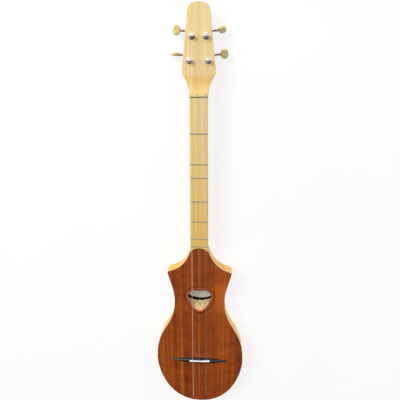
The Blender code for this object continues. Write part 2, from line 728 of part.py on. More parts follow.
def cut_tail_holes(cutters):
    """Each string goes down a narrow hole; its ball seats in a wide bore from the back."""
    seat = BALL_SEAT_HEIGHT - SLOT_OVERCUT / 2
    for place in (-1, 0, 1):
        x = place * TAIL_HOLE_PITCH
        wire_hole = add_object(
            f"wire_hole_cutter_{place + 2}",
            rod_mesh(WIRE_HOLE_DIAMETER / 2, seat, BODY_DEPTH + SLOT_OVERCUT, 16),
            collection=cutters,
        )
        wire_hole.location = (x, TAIL_HOLE_Y, 0)
        paired = sum(1 for string in STRINGS if string["hole"] == place) > 1
        reach = ball_offset() if paired else 0.0
        radius = BALL_BORE_DIAMETER / 2
        outline = []
        for i in range(18):
            angle = math.radians(20 * i + 10)
            shift = reach if math.cos(angle) > 0 else -reach
            outline.append((x + shift + radius * math.cos(angle), TAIL_HOLE_Y + radius * math.sin(angle)))
        bore = prism_mesh(outline, -SLOT_OVERCUT, BALL_SEAT_HEIGHT)
        add_object(f"ball_bore_cutter_{place + 2}", bore, collection=cutters)


def cut_tuner_holes(cutters):
    below = HEAD_BACK_Z - SLOT_OVERCUT
    for name, (x, y, _) in tuner_places().items():
        hole = rod_mesh(BUSHING_DIAMETER / 2 + GAP, below, HEAD_FACE_Z + SLOT_OVERCUT, 24)
        obj = add_object(f"{name}_post_hole_cutter", hole, collection=cutters)
        obj.location = (x, y, 0)
        for end, across in screw_offsets().items():
            pilot = rod_mesh(SCREW_DIAMETER / 2 + GAP, below, PLATE_BOTTOM + SCREW_LENGTH + GAP, 12)
            obj = add_object(f"{name}_{end}_pilot_cutter", pilot, collection=cutters)
            obj.matrix_world = tuner_frame(name) @ Matrix.Translation((0, across, 0))


def make_maple():
    rings = [neck_ring(*station) for station in neck_stations()]
    maple = add_object("maple_body_and_neck", loft_mesh(rings), "maple")
    add_boolean(maple, "UNION", add_object("body_block", body_block_mesh()))
    cut_chamber(maple)
    cut_soundboard_shelf(maple)
    cutters = new_collection("maple_cutters")
    cut_nut_and_fret_slots(cutters)
    cut_tail_holes(cutters)
    cut_tuner_holes(cutters)
    add_boolean(maple, "DIFFERENCE", cutters)


# ---------------------------------------------------------------- soundboard and its fittings


def make_soundboard():
    cutters = new_collection("soundboard_cutters")
    board = add_object("soundboard", prism_mesh(body_outline(), BOARD_BOTTOM, BOARD_TOP), "mahogany")
    add_bevel(board, TOP_BEVEL)
    above = BOARD_TOP + SLOT_OVERCUT
    below = BOARD_BOTTOM - SLOT_OVERCUT
    groove = BOARD_TOP - RING_DEPTH - GAP
    add_object("soundhole_cutter", prism_mesh(pick_outline(), below, above), collection=cutters)
    dot = rod_mesh(DOT_DIAMETER / 2 + GAP, groove, above)
    add_object("dot_cutter", dot, collection=cutters).location = (0, DOT_Y, 0)
    for place in (-1, 0, 1):
        hole = rod_mesh(TAIL_HOLE_DIAMETER / 2, below, above)
        cutter = add_object(f"tail_hole_cutter_{place + 2}", hole, collection=cutters)
        cutter.location = (place * TAIL_HOLE_PITCH, TAIL_HOLE_Y, 0)
    add_boolean(board, "DIFFERENCE", add_object("groove_cutter", ring_mesh(GAP, groove, above)))
    add_boolean(board, "DIFFERENCE", cutters)


def ring_mesh(clearance, bottom, top):
    """The line round the soundhole, widened by a clearance on each side."""
    half = RING_WIDTH / 2 + clearance
    outer = pick_outline(RING_ABOVE + half, RING_BESIDE + half, RING_BELOW + half)
    inner = pick_outline(RING_ABOVE - half, RING_BESIDE - half, RING_BELOW - half)

    def build(bm):
        corners = ((outer, bottom), (outer, top), (inner, top), (inner, bottom))
        loops = [[bm.verts.new((x, y, z)) for x, y in line] for line, z in corners]
        for first, second in zip(loops, loops[1:] + loops[:1]):
            for i in range(len(outer)):
                j = (i + 1) % len(outer)
                bm.faces.new((first[i], first[j], second[j], second[i]))

    return mesh_from(build)


def make_rosette():
    bottom = BOARD_TOP - RING_DEPTH
    ring = add_object("rosette_ring", ring_mesh(0, bottom, BOARD_TOP), "ebony")
    opening = rod_mesh(DOT_DIAMETER / 2 + GAP, bottom - SLOT_OVERCUT, BOARD_TOP + SLOT_OVERCUT)
    hole = add_object("ring_break_cutter", opening)
    hole.location = (0, DOT_Y, 0)
    add_boolean(ring, "DIFFERENCE", hole)
    dot = add_object("rosette_dot", rod_mesh(DOT_DIAMETER / 2, bottom, BOARD_TOP), "ebony")
    dot.location = (0, DOT_Y, 0)


def make_label():
    """A sheet on the chamber's floor; its lower edge follows the rib."""
    radius = RIB_RADIUS - LABEL_OFF_RIB
    outline = []
    for i in range(LABEL_STEPS + 1):
        x = LABEL_HALF_WIDTH * (2 * i / LABEL_STEPS - 1)
        outline.append((x, RIB_CENTRE_Y - math.sqrt(radius**2 - x**2)))
    top = RIB_CENTRE_Y - radius + LABEL_LENGTH
    outline += [(LABEL_HALF_WIDTH, top), (-LABEL_HALF_WIDTH, top)]
    bottom = CHAMBER_FLOOR + GAP
    add_object("label", prism_mesh(outline, bottom, bottom + LABEL_THICKNESS), "paper")


def make_braces():
    outline = chamber_outline()
    top = BOARD_BOTTOM - GAP
    end = top - BRACE_END_HEIGHT
    low = top - BRACE_HEIGHT
    places = {
        "upper_brace": HOLE_TOP_Y + UPPER_BRACE_ABOVE_HOLE,
        "lower_brace": SADDLE_Y + LOWER_BRACE_ABOVE_SADDLE,
    }
    for name, y in places.items():
        faces = (y - BRACE_WIDTH / 2, y + BRACE_WIDTH / 2)
        half = min(half_width_at(outline, face) for face in faces) - BRACE_END_CLEARANCE
        foot = half - 2 * BRACE_HEIGHT
        corners = ((-half, top), (half, top), (half, end), (foot, low), (-foot, low), (-half, end))
        rings = [[Vector((x, face, z)) for x, z in corners] for face in faces]
        add_object(name, loft_mesh(rings), "spruce")
    corner = (-PATCH_HALF_LENGTH, BRIDGE_Y - PATCH_WIDTH / 2, top - PATCH_THICKNESS)
    plate = box_mesh(corner, (PATCH_HALF_LENGTH, BRIDGE_Y + PATCH_WIDTH / 2, top))
    add_bevel(add_object("bridge_patch", plate, "spruce"), PATCH_BEVEL)


# ---------------------------------------------------------------- nut, frets, bridge and saddle


def fret_y(semitones):
    return NUT_Y - SCALE_LENGTH * (1 - 2 ** (-semitones / 12))


def string_height_at_nut(string):
    return FRETBOARD_Z + STRING_NUT_HEIGHT + string["wire"] / 2


def make_nut():
    bottom = FRETBOARD_Z - NUT_SLOT_DEPTH + GAP
    top = FRETBOARD_Z + NUT_HEIGHT_OVER_FRETBOARD
    half = NUT_WIDTH / 2 - FRET_END_INSET
    nut = add_object("nut", box_mesh((-half, NUT_Y, bottom), (half, NUT_Y + NUT_THICKNESS, top)), "bone")
    add_bevel(nut, NUT_BEVEL, 2)
    cutters = new_collection("nut_cutters")
    for number, string in enumerate(STRINGS, 1):
        slot_half = string["wire"] / 2 + GAP
        floor = string_height_at_nut(string) - slot_half
        low = (string["nut"] - slot_half, NUT_Y - SLOT_OVERCUT, floor)
        high = (string["nut"] + slot_half, NUT_Y + NUT_THICKNESS + SLOT_OVERCUT, top + SLOT_OVERCUT)
        add_object(f"nut_string_cutter_{number}", box_mesh(low, high), collection=cutters)
    add_boolean(nut, "DIFFERENCE", cutters)


def fret_mesh(y):
    """A T-shaped bar: a domed crown over a thin tang."""
    half = neck_half_width(y - NUT_Y) - FRET_END_INSET
    base = FRETBOARD_Z + GAP
    section = []
    for i in range(FRET_STEPS_ACROSS + 1):
        angle = math.pi * i / FRET_STEPS_ACROSS
        rise = max(0.0, math.sin(angle))
        across = FRET_WIDTH / 2 * math.cos(angle)
        section.append((across, base + FRET_HEIGHT * rise, FRET_END_ROUNDING * rise))
    tang = FRET_TANG_WIDTH / 2
    foot = FRETBOARD_Z - FRET_TANG_DEPTH
    section += [(-tang, base, 0.0), (-tang, foot, 0.0), (tang, foot, 0.0), (tang, base, 0.0)]
    ends = [[Vector((side * (half - dip), y + along, z)) for along, z, dip in section] for side in (-1, 1)]
    return loft_mesh(ends)


def make_frets():
    for number, semitones in enumerate(FRET_STEPS, 1):
        add_object(f"fret_{number}", fret_mesh(fret_y(semitones)), "nickel_silver")


def make_bridge():
    """A thin boat shape that narrows and drops towards both tips."""
    base = BOARD_TOP + GAP
    rings = []
    for i in range(-BRIDGE_STEPS, BRIDGE_STEPS + 1):
        x = BRIDGE_HALF_LENGTH * math.sin(math.pi / 2 * i / BRIDGE_STEPS)
        full = 1 - (abs(x) / BRIDGE_HALF_LENGTH) ** BRIDGE_TAPER
        half = BRIDGE_TIP_HALF_WIDTH + (BRIDGE_HALF_WIDTH - BRIDGE_TIP_HALF_WIDTH) * full
        height = BRIDGE_TIP_HEIGHT + (BRIDGE_HEIGHT - BRIDGE_TIP_HEIGHT) * full
        front = [(half * wide, base + height * high) for wide, high in BRIDGE_SECTION]
        back = [(-y, z) for y, z in reversed(front)]
        rings.append([Vector((x, BRIDGE_Y + y, z)) for y, z in front + back])
    bridge = add_object("bridge", loft_mesh(rings), "ebony")
    floor = base + BRIDGE_HEIGHT - SADDLE_SLOT_DEPTH
    place = Matrix.Translation((0, SADDLE_Y, 0)) @ Matrix.Rotation(math.atan(SADDLE_SLANT), 4, "Z")
    half = SADDLE_HALF_LENGTH + GAP
    thick = SADDLE_THICKNESS / 2 + GAP
    slot = box_mesh((-half, -thick, floor), (half, thick, SADDLE_TOP + SLOT_OVERCUT))
    cutter = add_object("saddle_slot_cutter", slot)
    cutter.matrix_world = place
    add_boolean(bridge, "DIFFERENCE", cutter)
    low = (-SADDLE_HALF_LENGTH, -SADDLE_THICKNESS / 2, floor + GAP)
    blank = box_mesh(low, (SADDLE_HALF_LENGTH, SADDLE_THICKNESS / 2, SADDLE_TOP))
    saddle = add_object("saddle", blank, "bone")
    saddle.matrix_world = place
    add_bevel(saddle, SADDLE_BEVEL, 2)


# ---------------------------------------------------------------- strings


def ball_offset():
    """How far the two balls of a pair sit from the middle of their bore."""
    return BALL_LENGTH / 2 + GAP


def rounded_route(corners, reach, steps=3):
    """The corner points with each inner corner replaced by a short curve."""
    points = [Vector(corners[0])]
    for before, corner, after in zip(corners, corners[1:], corners[2:]):
        corner = Vector(corner)
        back = Vector(before) - corner
        on = Vector(after) - corner
        size = min(reach, back.length * 0.45, on.length * 0.45)
        start = corner + back.normalized() * size
        end = corner + on.normalized() * size
        for i in range(steps + 1):
            share = i / steps
            points.append(start.lerp(corner, share).lerp(corner.lerp(end, share), share))
    points.append(Vector(corners[-1]))
    return points


def post_touch(string):
    """Where the string meets its post: beside the post on its inner side, just under the turns."""
    x, y, _ = tuner_places()[string["tuner"]]
    side = 1 if x > 0 else -1
    radius = winding_radius(string)
    return Vector((x - side * radius, y, HEAD_FACE_Z + BUSHING_FLANGE_HEIGHT + WINDING_OVER_FLANGE))


def winding_radius(string):
    """To the corners of the turns, whose straight sides clear the post."""
    side = POST_DIAMETER / 2 + WINDING_CLEARANCE + string["wire"] / 2
    return side / math.cos(math.pi / WINDING_SIDES)


def make_string(number, string):
    """One string from its post over nut and saddle, down its tail hole to its ball."""
    wire = string["wire"]
    nut_z = string_height_at_nut(string)
    saddle_z = SADDLE_TOP + GAP + wire / 2
    hole_x = string["hole"] * TAIL_HOLE_PITCH
    wire_x = hole_x + string["spread"] * PAIR_WIRE_OFFSET
    ball_x = hole_x + string["spread"] * ball_offset()
    ball_z = BALL_SEAT_HEIGHT - GAP - BALL_DIAMETER / 2
    corners = [
        post_touch(string),
        (string["nut"], NUT_Y + NUT_THICKNESS, nut_z),
        (string["nut"], NUT_Y, nut_z),
        (string["saddle"], SADDLE_Y + SADDLE_SLANT * string["saddle"], saddle_z),
        (wire_x, TAIL_HOLE_Y + TAIL_CORNER_OUT, BOARD_TOP + 2 * GAP + wire),
        (wire_x, TAIL_HOLE_Y, BOARD_BOTTOM),
        (wire_x, TAIL_HOLE_Y, BALL_SEAT_HEIGHT + GAP),
        (ball_x, TAIL_HOLE_Y, ball_z + BALL_DIAMETER * BALL_NECK_SHARE),
    ]
    points = rounded_route(corners, STRING_CORNER)
    twist_top = BALL_SEAT_HEIGHT + TWIST_LENGTH
    factors = [TWIST_FACTOR if p.z < twist_top and p.y < BRIDGE_Y else 1.0 for p in points]
    material = "bronze_wire" if number == 1 else "steel_wire"
    obj = add_object(f"string_{number}", wire_mesh(points, wire, factors), material)
    ball = add_object(f"ball_{number}", rod_mesh(BALL_DIAMETER / 2, -BALL_LENGTH / 2, BALL_LENGTH / 2, 16))
    seat = Matrix.Translation((ball_x, TAIL_HOLE_Y, ball_z))
    ball.matrix_world = seat @ Matrix.Rotation(math.pi / 2, 4, "Y")
    add_boolean(obj, "UNION", ball)


def winding_bottom(string):
    return post_touch(string).z + string["wire"] + GAP


def winding_top(string):
    return winding_bottom(string) + string["turns"] * (string["wire"] + WINDING_SPACING)


def make_winding(number, string):
    """The turns that lie round the post, ending in the post's cross hole."""
    x, y, _ = tuner_places()[string["tuner"]]
    side = 1 if x > 0 else -1
    radius = winding_radius(string)
    bottom = winding_bottom(string)
    top = winding_top(string)
    count = string["turns"] * WINDING_SIDES
    points = []
    for i in range(count + 1):
        angle = 2 * math.pi * i / WINDING_SIDES
        z = bottom + (top - bottom) * i / count
        points.append(Vector((-side * radius * math.cos(angle), radius * math.sin(angle), z)))
    points.append(Vector((-side * WINDING_END_FROM_AXIS, 0, top)))
    material = "bronze_wire" if number == 1 else "steel_wire"
    turns = wire_mesh(points, string["wire"], resolution=0)
    add_object(f"string_winding_{number}", turns, material).location = (x, y, 0)


# ---------------------------------------------------------------- tuners


def tuner_places():
    """Each tuner's post (x, y) and the turn that lines its plate up with the head's edge."""
    places = {}
    for level, past_nut in (("upper", UPPER_POST_PAST_NUT), ("lower", LOWER_POST_PAST_NUT)):
        along = (past_nut - HEAD_WIDEST_PAST_NUT) / (HEAD_TIP_START - HEAD_WIDEST_PAST_NUT)
        edge = HEAD_WIDEST_HALF + (HEAD_TIP_HALF - HEAD_WIDEST_HALF) * along
        x = edge - POST_TO_HEAD_EDGE
        places[f"bass_{level}"] = (-x, NUT_Y + past_nut, -HEAD_TAPER)
        places[f"treble_{level}"] = (x, NUT_Y + past_nut, HEAD_TAPER)
    return places


def tuner_frame(name):
    """On the post's axis: X runs across the head, Y along its edge."""
    x, y, angle = tuner_places()[name]
    return Matrix.Translation((x, y, 0)) @ Matrix.Rotation(angle, 4, "Z")


def worm_frame(name):
    """On the worm's axis: Z points out of the head to the button."""
    side = 1 if name.startswith("treble") else -1
    turn = Matrix.Rotation(side * math.pi / 2, 4, "Y")
    return tuner_frame(name) @ Matrix.Translation((0, WORM_OFFSET, WORM_Z)) @ turn


def screw_offsets():
    return {
        "upper_screw": PLATE_ABOVE_POST - SCREW_FROM_PLATE_END,
        "lower_screw": SCREW_FROM_PLATE_END - PLATE_BELOW_POST,
    }


def plate_mesh():
    """A flat plate with two lugs bent down that carry the worm; X points to the head's edge."""
    low = (-PLATE_INNER, -PLATE_BELOW_POST, PLATE_BOTTOM)
    plate = add_object("plate_shape", box_mesh(low, (PLATE_OUTER, PLATE_ABOVE_POST, PLATE_TOP)))
    add_bevel(plate, PLATE_BEVEL)
    for side in (-1, 1):
        x = side * LUG_CENTRE
        low = (x - LUG_THICKNESS / 2, WORM_OFFSET - LUG_WIDTH / 2, WORM_Z - LUG_DEPTH_BELOW_WORM)
        high = (x + LUG_THICKNESS / 2, WORM_OFFSET + LUG_WIDTH / 2, PLATE_BOTTOM + PLATE_THICKNESS / 2)
        add_boolean(plate, "UNION", add_object("lug_shape", box_mesh(low, high)))
    below = PLATE_BOTTOM - SLOT_OVERCUT
    above = PLATE_TOP + SLOT_OVERCUT
    bores = [(rod_mesh(POST_DIAMETER / 2 + GAP, below, above), Matrix.Identity(4))]
    for offset in screw_offsets().values():
        bore = rod_mesh(SCREW_DIAMETER / 2 + GAP, below, above, 12)
        bores.append((bore, Matrix.Translation((0, offset, 0))))
    reach = PLATE_OUTER + LUG_CENTRE
    axis = Matrix.Translation((0, WORM_OFFSET, WORM_Z)) @ Matrix.Rotation(math.pi / 2, 4, "Y")
    bores.append((rod_mesh(SHAFT_DIAMETER / 2 + GAP, -reach, reach, 16), axis))
    for mesh, place in bores:
        bore = add_object("bore_shape", mesh)
        bore.matrix_world = place
        add_boolean(plate, "DIFFERENCE", bore)
    return baked_mesh(plate)


def bushing_mesh():
    """A press-in bush with a domed flange on the head's face."""
    face = HEAD_FACE_Z + GAP
    flange = BUSHING_FLANGE_DIAMETER / 2
    bore = POST_DIAMETER / 2 + GAP
    profile = [
        (bore, face + BUSHING_FLANGE_HEIGHT),
        (bore + BUSHING_RIM, face + BUSHING_FLANGE_HEIGHT),
        (flange - BUSHING_RIM, face + BUSHING_FLANGE_HEIGHT * BUSHING_SHOULDER_SHARE),
        (flange, face + BUSHING_EDGE),
        (flange, face),
        (BUSHING_DIAMETER / 2, face),
        (BUSHING_DIAMETER / 2, face - BUSHING_LENGTH),
        (bore, face - BUSHING_LENGTH),
    ]
    return turned_mesh(profile, 22, closed=True)


def post_mesh(string):
    """A round post with a cross hole for its string and a square foot for its wheel."""
    radius = POST_DIAMETER / 2
    top = HEAD_FACE_Z + POST_HEIGHT_OVER_FACE
    shoulder = WHEEL_TOP + GAP
    crown = [(radius * wide, top - drop) for wide, drop in POST_CROWN]
    post = add_object("post_shape", turned_mesh([(0, top), *crown, (radius, shoulder), (0, shoulder)], 18))
    half = POST_SQUARE / 2
    low = (-half, -half, WHEEL_BOTTOM - FOOT_BELOW_WHEEL)
    foot = add_object("foot_shape", box_mesh(low, (half, half, shoulder + GAP)))
    add_boolean(post, "UNION", foot)
    bore = rod_mesh(STRING_HOLE_DIAMETER / 2, -POST_DIAMETER, POST_DIAMETER, 10)
    hole = add_object("string_hole_shape", bore)
    hole.matrix_world = Matrix.Translation((0, 0, winding_top(string))) @ Matrix.Rotation(math.pi / 2, 4, "Y")
    add_boolean(post, "DIFFERENCE", hole)
    return baked_mesh(post)


def wheel_mesh():
    """A wheel whose teeth slant with the worm's thread; a tooth points along +Y."""
    lead = WORM_PITCH / (2 * math.pi * WORM_PITCH_RADIUS)
    twist = lead / WHEEL_PITCH_RADIUS
    root = WHEEL_PITCH_RADIUS - TOOTH_HALF_DEPTH
    tip = WHEEL_PITCH_RADIUS + TOOTH_HALF_DEPTH
    foot_angle = TOOTH_FOOT_SHARE * TOOTH_THICKNESS / WHEEL_PITCH_RADIUS
    tip_angle = TOOTH_TIP_SHARE * TOOTH_THICKNESS / WHEEL_PITCH_RADIUS
    corners = ((-foot_angle, root), (-tip_angle, tip), (tip_angle, tip), (foot_angle, root))
    rings = []
    for z in (WHEEL_BOTTOM, WORM_Z, WHEEL_TOP):
        ring = []
        for tooth in range(WHEEL_TEETH):
            middle = math.pi / 2 + 2 * math.pi * tooth / WHEEL_TEETH + twist * (z - WORM_Z)
            for offset, radius in corners:
                angle = middle + offset
                ring.append(Vector((radius * math.cos(angle), radius * math.sin(angle), z)))
        rings.append(ring)
    wheel = add_object("wheel_shape", loft_mesh(rings))
    half = POST_SQUARE / 2 + GAP
    bore = box_mesh((-half, -half, WHEEL_BOTTOM - SLOT_OVERCUT), (half, half, WHEEL_TOP + SLOT_OVERCUT))
    add_boolean(wheel, "DIFFERENCE", add_object("square_bore_shape", bore))
    return baked_mesh(wheel)


def worm_shaft_mesh():
    """The shaft along Z, zero at the middle of its right-hand thread."""
    radius = SHAFT_DIAMETER / 2
    root = WORM_PITCH_RADIUS - TOOTH_HALF_DEPTH - WORM_ROOT_CLEARANCE
    collar = SHAFT_COLLAR_DIAMETER / 2
    button = BUTTON_CENTRE - BUTTON_LENGTH / 2
    hub = button - BUTTON_HUB_LENGTH - GAP
    end = button + BUTTON_SOCKET_DEPTH - GAP
    profile = [(0, end), (radius, end)]
    for middle, half in ((hub - HUB_COLLAR_HALF, HUB_COLLAR_HALF), (SHAFT_COLLAR_AT, SHAFT_COLLAR_HALF)):
        profile += [(radius, middle + half), (collar, middle + half / 2)]
        profile += [(collar, middle - half / 2), (radius, middle - half)]
    worm = WORM_LENGTH / 2
    start = -LUG_CENTRE - LUG_THICKNESS / 2 - SHAFT_END_PAST_LUG
    profile += [(radius, worm + WORM_RUNOUT), (root, worm), (root, -worm), (radius, -worm - WORM_RUNOUT)]
    profile += [(radius, start), (0, start)]
    shaft = add_object("shaft_shape", turned_mesh(profile, 12))
    rings = []
    steps = round((WORM_LENGTH - 2 * THREAD_TIP_SHARE * WORM_PITCH) / WORM_PITCH * THREAD_SIDES / 2)
    for i in range(-steps, steps + 1):
        angle = 2 * math.pi * i / THREAD_SIDES
        across = Vector((math.cos(angle), math.sin(angle), 0))
        middle = Vector((0, 0, WORM_PITCH * i / THREAD_SIDES))
        inner = middle + across * (root - THREAD_ROOT_DEPTH)
        outer = middle + across * (WORM_TIP_RADIUS if abs(i) < steps else WORM_PITCH_RADIUS)
        wide = Vector((0, 0, TOOTH_THICKNESS * THREAD_FOOT_SHARE))
        narrow = Vector((0, 0, TOOTH_THICKNESS * THREAD_TIP_SHARE))
        rings.append([inner - wide, outer - narrow, outer + narrow, inner + wide])
    add_boolean(shaft, "UNION", add_object("thread_shape", loft_mesh(rings)))
    return baked_mesh(shaft)


def button_mesh():
    """A flat oval button with a round edge, its hub towards the head; Z is the shaft's axis."""
    edge = BUTTON_THICKNESS * BUTTON_EDGE_SHARE
    curve = bpy.data.curves.new("button", "CURVE")
    curve.dimensions = "2D"
    curve.fill_mode = "BOTH"
    curve.extrude = BUTTON_THICKNESS / 2 - edge
    curve.bevel_depth = edge
    curve.bevel_resolution = 1
    spline = curve.splines.new("POLY")
    spline.points.add(BUTTON_SIDES - 1)
    spline.use_cyclic_u = True
    for i, point in enumerate(spline.points):
        angle = 2 * math.pi * (i + 0.5) / BUTTON_SIDES
        cos, sin = math.cos(angle), math.sin(angle)
        x = (BUTTON_WIDTH / 2 - edge) * math.copysign(abs(cos) ** BUTTON_SQUARENESS, cos)
        y = (BUTTON_LENGTH / 2 - edge) * math.copysign(abs(sin) ** BUTTON_SQUARENESS, sin)
        point.co = (x, y, 0, 1)
    obj = bpy.data.objects.new("button_outline", curve)
    CUTTERS.objects.link(obj)
    flat = baked_mesh(obj)
    flat.transform(Matrix.Translation((0, 0, BUTTON_CENTRE)) @ Matrix.Rotation(math.pi / 2, 4, "X"))
    button = add_object("button_shape", flat)
    inner = BUTTON_CENTRE - BUTTON_LENGTH / 2
    sunk = inner + BUTTON_THICKNESS / 2
    foot = inner - BUTTON_HUB_LENGTH
    wide, narrow = (BUTTON_HUB_DIAMETER / 2 * share for share in BUTTON_HUB_SHARES)
    hub = turned_mesh([(0, sunk), (wide, sunk), (narrow, foot), (0, foot)], 16)
    add_boolean(button, "UNION", add_object("hub_shape", hub))
    socket = rod_mesh(SHAFT_DIAMETER / 2 + GAP, foot - SLOT_OVERCUT, inner + BUTTON_SOCKET_DEPTH, 16)
    add_boolean(button, "DIFFERENCE", add_object("socket_shape", socket))
    return baked_mesh(button)


def screw_mesh():
    """A slotted round-head wood screw that points up into the head; z is zero under its head."""
    head = SCREW_HEAD_DIAMETER / 2
    shank = SCREW_DIAMETER / 2
    dome = [(head * wide, -SCREW_HEAD_HEIGHT * high) for wide, high in SCREW_HEAD_DOME]
    point = [(0, SCREW_LENGTH), (shank, SCREW_LENGTH - SCREW_POINT)]
    profile = [*point, (shank, 0), *dome, (0, -SCREW_HEAD_HEIGHT)]
    screw = add_object("screw_shape", turned_mesh(profile, 12))
    half = SCREW_SLOT_WIDTH / 2
    low = (-SCREW_HEAD_DIAMETER, -half, -2 * SCREW_HEAD_HEIGHT)
    slot = box_mesh(low, (SCREW_HEAD_DIAMETER, half, SCREW_SLOT_DEPTH - SCREW_HEAD_HEIGHT))
    add_boolean(screw, "DIFFERENCE", add_object("slot_shape", slot))
    return baked_mesh(screw)


def make_tuners():
    plates = {1: plate_mesh()}
    mirrored = plates[1].copy()
    mirrored.transform(Matrix.Scale(-1, 4, (1, 0, 0)))
    mirrored.flip_normals()
    plates[-1] = mirrored
    bushing = bushing_mesh()
    wheel = wheel_mesh()
    shaft = worm_shaft_mesh()
    button = button_mesh()
    screw = screw_mesh()
    phase = Matrix.Rotation(WORM_PHASE, 4, "Z")
    for string in STRINGS:
        name = string["tuner"]
        frame = tuner_frame(name)
        axis = worm_frame(name)
        turn = Matrix.Rotation(math.radians(BUTTON_TURNS[name] + 90), 4, "Z")
        plate = plates[1 if name.startswith("treble") else -1]
        add_object(f"{name}_tuner_plate", plate, "chrome").matrix_world = frame
        add_object(f"{name}_bushing", bushing, "chrome").matrix_world = frame
        post = add_object(f"{name}_post", post_mesh(string), "chrome")
        post.matrix_world = Matrix.Translation(frame.translation)
        add_object(f"{name}_wheel", wheel, "brass").matrix_world = frame
        add_object(f"{name}_worm_shaft", shaft, "chrome").matrix_world = axis @ phase
        add_object(f"{name}_button", button, "ivory_plastic").matrix_world = axis @ turn
        for end, offset in screw_offsets().items():
            place = frame @ Matrix.Translation((0, offset, PLATE_BOTTOM - GAP))
            add_object(f"{name}_{end}", screw, "chrome").matrix_world = place


clear_scene()
PIECES = new_collection("dulcimer")
CUTTERS = new_collection("cutters")
MATERIALS = {name: make_material(name) for name in COLORS}
make_maple()
make_soundboard()
make_rosette()
make_label()
make_braces()
make_nut()
make_frets()
make_bridge()
for index, wire_spec in enumerate(STRINGS, 1):
    make_string(index, wire_spec)
    make_winding(index, wire_spec)
make_tuners()
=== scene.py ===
"""Looks for the long-necked dulcimer: procedural woods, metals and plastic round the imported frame."""

import math

import bpy
from mathutils import Matrix, Vector


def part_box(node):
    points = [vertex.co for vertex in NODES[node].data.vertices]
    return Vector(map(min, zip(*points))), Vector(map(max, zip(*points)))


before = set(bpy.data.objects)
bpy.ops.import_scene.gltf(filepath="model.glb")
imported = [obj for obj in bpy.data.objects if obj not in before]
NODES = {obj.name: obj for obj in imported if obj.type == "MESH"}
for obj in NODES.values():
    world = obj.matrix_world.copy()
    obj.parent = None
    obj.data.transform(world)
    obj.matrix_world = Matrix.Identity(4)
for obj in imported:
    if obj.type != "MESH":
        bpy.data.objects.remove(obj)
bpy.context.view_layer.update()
TUNERS = ("bass_upper", "bass_lower", "treble_upper", "treble_lower")

# Places on the instrument, in metres. A pair is a low and a high end
NUT_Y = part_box("nut")[0].y
JOINT_ARC_RISE = 0.0085
JOINT_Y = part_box("soundboard")[1].y - JOINT_ARC_RISE
BODY_EDGE_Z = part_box("soundboard")[0].z
SCOOP_Y = (NUT_Y + 0.003, NUT_Y + 0.032)
# A painted shadow of the nut: dark on the fretboard just on the nut's tail side, within these
NUT_SHADOW_X = (-0.017, 0.017)
NUT_SHADOW_Y = (NUT_Y - 0.0016, NUT_Y + 0.0006)
# A painted highlight: a pale line along the top of the maple's sides, just under the soundboard
EDGE_HIGHLIGHT_Z = (BODY_EDGE_Z - 0.0022, BODY_EDGE_Z + 0.01)
EDGE_HIGHLIGHT_Y = (JOINT_Y - 0.01, JOINT_Y)  # it fades out between these

# Maple that shows through the soundhole: the rib, its foot and the passage under it. The foot's brightness
# is a painted light, the passage's darkness a painted shade
RIB_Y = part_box("label")[0].y
RIB_RADIUS = 0.050
RIB_CENTRE_Y = RIB_Y + RIB_RADIUS
INSIDE_X = (-0.05, 0.05)
INSIDE_Y = (RIB_Y - 0.045, RIB_Y + 0.012)
RIB_LIGHT_Z = (0.006, 0.012)  # the foot's painted light rises between these
MOTTLE_Z = (0.0142, 0.0152)  # the mottle comes in between these
PASSAGE_X = (-0.0335, 0.0335)
PASSAGE_Y = (RIB_Y - 0.03, RIB_Y + 0.03)
PASSAGE_Z = (0.0045, 0.0127)
PASSAGE_SHADE_RADII = (0.0478, 0.0502)  # distance from the rib's centre: the painted shade comes in between these

# A painted glare, a warm highlight on the soundboard's right side, and the zone round the soundhole
GLARE_X = (0.038, 0.058)
GLARE_Y = (JOINT_Y - 0.140, JOINT_Y - 0.088)
HOLE_ZONE_SOFT = 0.004

# Label
LABEL_BORDER = 0.0022  # in from its edge, as is the margin
LABEL_MARGIN = 0.004
LABEL_ROW = 0.0042  # spacing of the rows of plain strokes
LABEL_SHADE_Y = (-0.0022, -0.0004)  # from its middle: a painted shade comes in between these

# Metal and plastic
WRAP_PITCH = 0.00025
TWIST_LENGTH = 0.011  # of the bass string's paler end at the tail
HUB_SHADE = (0.001, 0.006)  # a painted brown shade fades out between these, out from a button's inner end
COLLARS = ((0.0129, 0.0148), (0.0080, 0.0098))  # in from a worm shaft's outer end
DARK_REFLECTION_SIDE = (0.45, -0.89, 0.0)  # a painted dark reflection on the flank towards the tail and the right

# Stage. SKY runs from the tail, at 0, to the head, at 1, with the brightness at each place
SKY = ((0.0, 0.03), (0.28, 0.07), (0.44, 0.4), (0.58, 0.85), (1.0, 1.2))
BACKDROP = (0.97, 0.97, 0.97, 1.0)
FLOOR_HALF = 4.0
FLOOR_DROP = 0.0005
FLOOR_GLOW = 0.76
CAMERA_PLACE = (0.0393, 0.32015, 0.6484)
CAMERA_RIGHT = (0.99818, -0.00262, -0.06026)
CAMERA_UP = (-0.01824, 0.93921, -0.34285)
CAMERA_BACK = (0.05750, 0.34333, 0.93744)
CAMERA_LENS = 30.22  # millimetres, on a sensor 36 mm wide


# ---------------------------------------------------------------- node helpers


